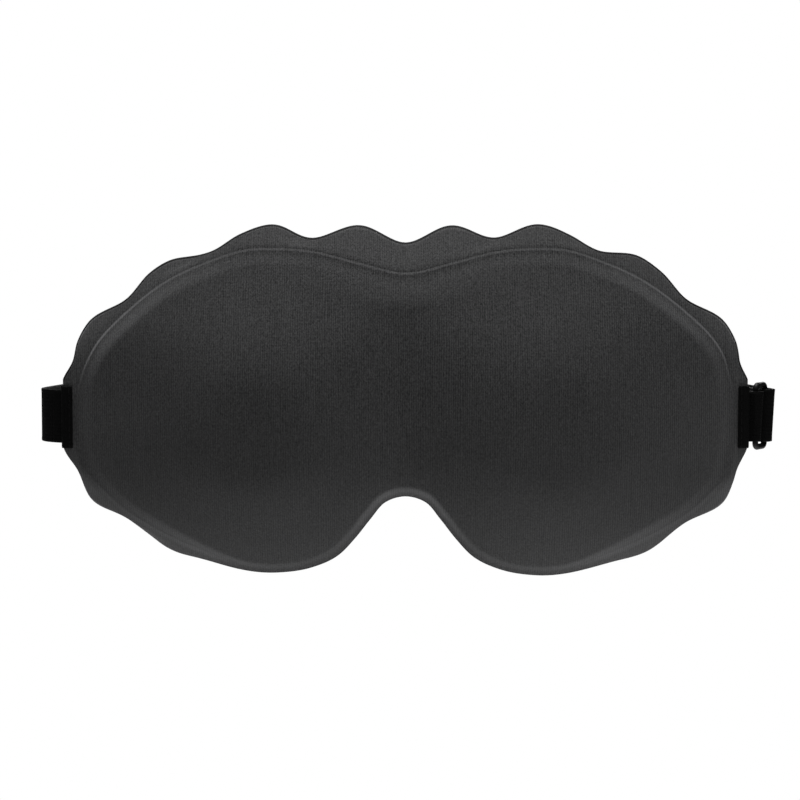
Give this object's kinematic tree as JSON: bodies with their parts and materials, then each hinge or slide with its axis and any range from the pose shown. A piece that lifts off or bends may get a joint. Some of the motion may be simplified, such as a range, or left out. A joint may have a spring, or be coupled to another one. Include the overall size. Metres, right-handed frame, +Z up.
{
  "type": "sleep eye mask",
  "caption": "Contoured sleep eye mask with a moulded foam body, scalloped pressed edge, domed eye cups and an elastic head strap adjusted by a slider and a ring.",
  "frame": {"origin": "on the mask's middle plane, level with the strap, on the pressed edge's front surface carried across the nose bridge, where the mask rests on the wearer", "axes": "+X to the right of someone who looks at the mask's front, +Y from the front to the wearer's face, +Z up"},
  "size_m": [0.2497, 0.1578, 0.1141],
  "materials": {
    "grey_knit": "matte",
    "foam": "matte",
    "black_knit": "matte",
    "black_tape": "matte",
    "elastic": "matte",
    "thread": "satin",
    "hardware": "satin"
  },
  "bodies": {
    "mask": {"outer_cover": "grey_knit", "foam_core": "foam", "inner_lining": "black_knit", "left_anchor_patch": "black_tape", "right_anchor_patch": "black_tape", "left_strap_end": "elastic", "right_tab_end": "black_tape", "left_stitching": "thread", "right_stitching": "thread"},
    "strap": {"strap": "elastic", "strap_return": "elastic", "ring_tab": "black_tape"},
    "ring": {"ring": "hardware"},
    "slider": {"slider": "hardware", "strap_end_loop": "elastic", "bar_tack": "thread"}
  },
  "joints": [
    {"name": "strap_swing", "type": "hinge", "parent": "mask", "child": "strap", "pos_m": [0, 0.03254, 0], "axis": [1, 0, 0], "range_deg": [-18, 18]},
    {"name": "ring_pivot", "type": "hinge", "parent": "strap", "child": "ring", "pos_m": [0.1186, 0.03314, 0], "axis": [0, 0, 1], "range_deg": [-6, 6]},
    {"name": "slider_travel", "type": "slide", "parent": "strap", "child": "slider", "axis": [-0.2079, 0.9781, 0], "range_m": [-0.018, 0.005], "deforming": ["strap_return"]}
  ]
}
